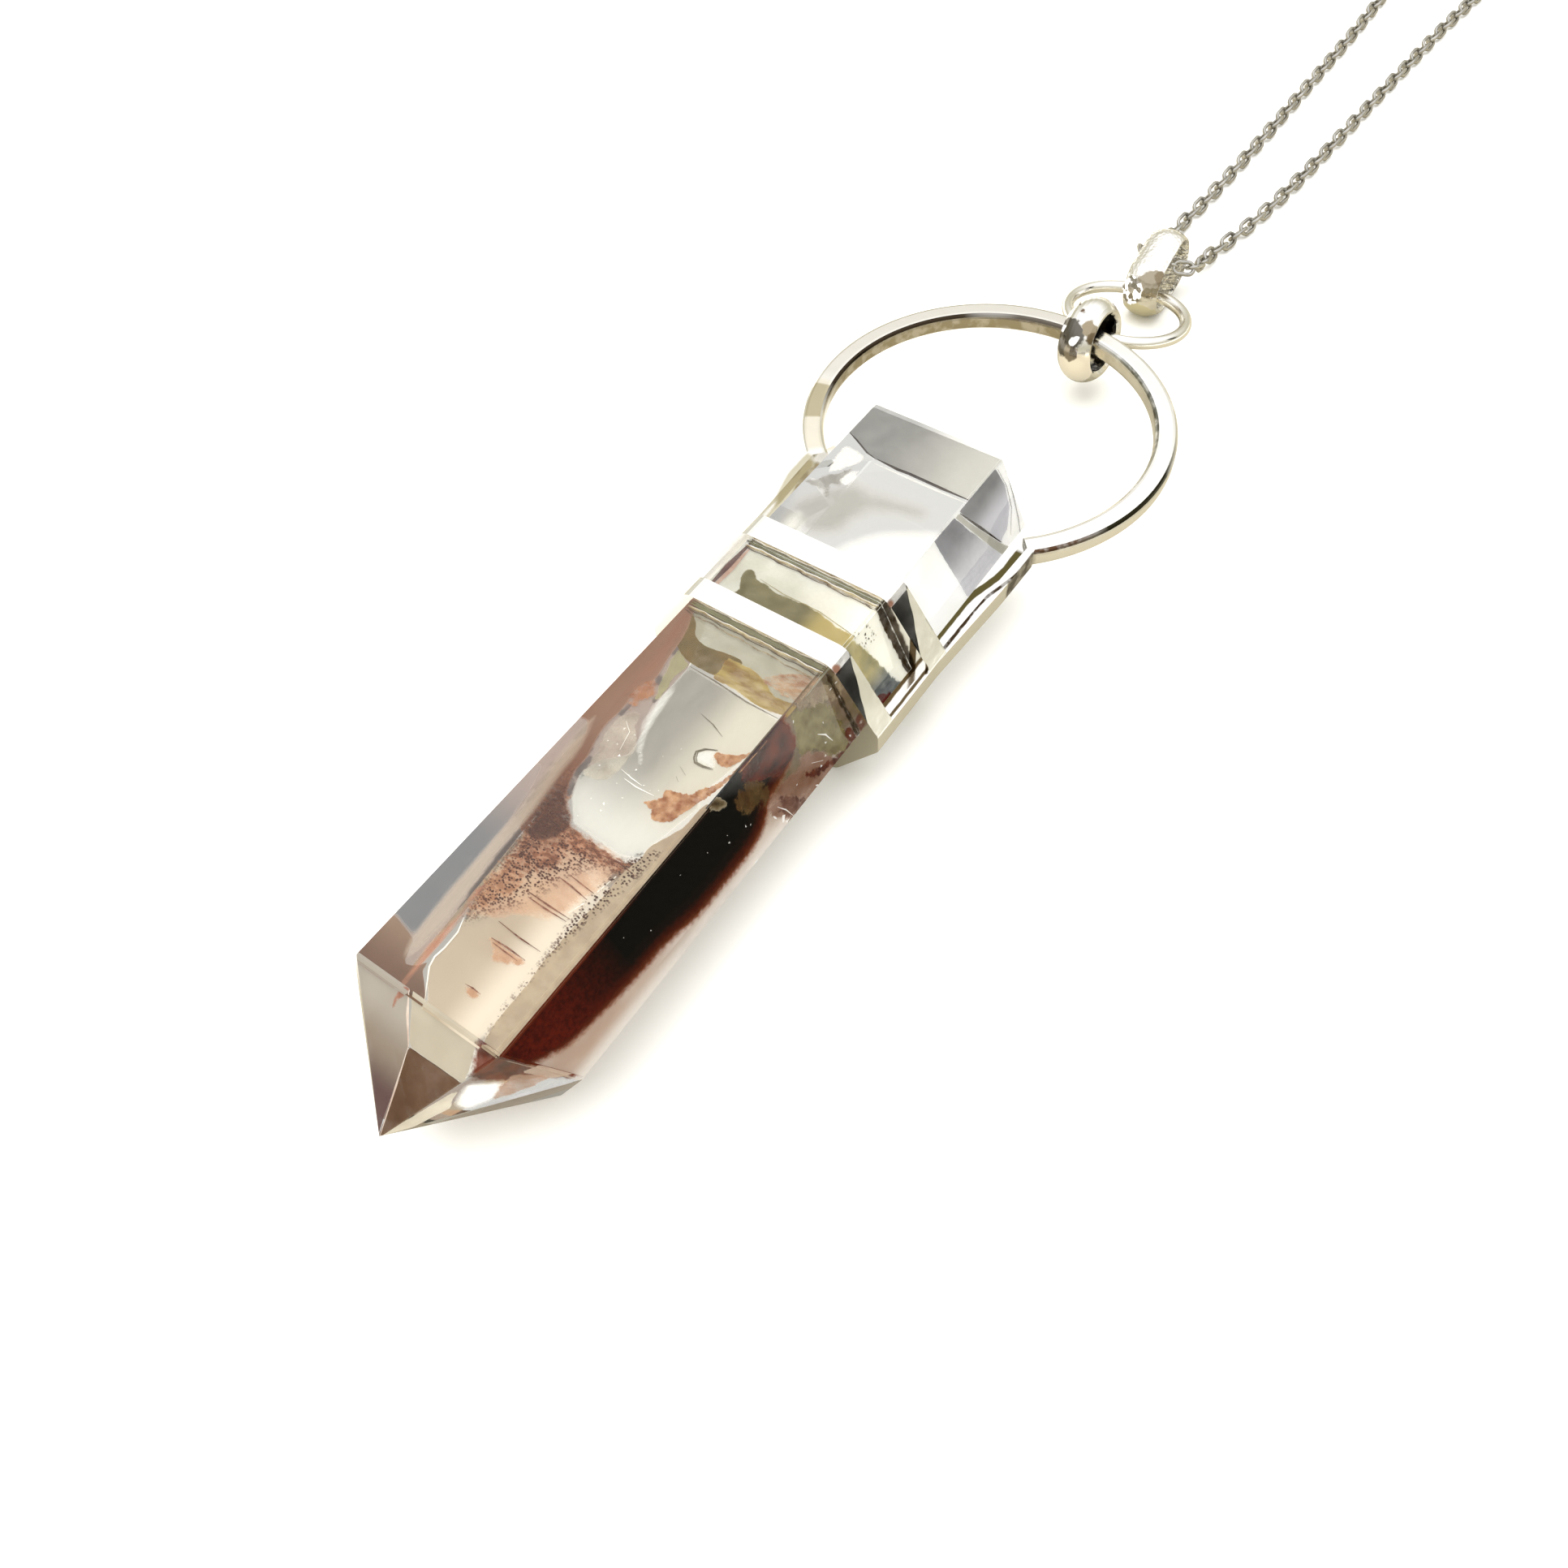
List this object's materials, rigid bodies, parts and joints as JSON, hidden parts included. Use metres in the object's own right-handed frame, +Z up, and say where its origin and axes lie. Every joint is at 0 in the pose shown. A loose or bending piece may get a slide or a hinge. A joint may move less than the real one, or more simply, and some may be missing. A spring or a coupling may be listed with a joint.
{
  "type": "crystal point pendant on a cable chain",
  "caption": "Polished quartz point held in a silver frame of hexagonal bands, rails and a large ring, with domed links, a small ring and a cable chain, lying flat.",
  "frame": {"origin": "middle of the front band's flat underside, on the table that the pendant lies on", "axes": "+X across the crystal, +Y from the crystal's point towards the ring and chain, +Z up from the table"},
  "size_m": [0.0907, 0.3006, 0.013],
  "materials": {
    "quartz": "polished",
    "silver": "polished"
  },
  "bodies": {
    "root": {"crystal_point": "quartz", "silver_frame": "silver", "ring_link": "silver", "jump_ring": "silver", "chain_bail": "silver", "chain": "silver", "clasp": "silver"}
  },
  "joints": []
}
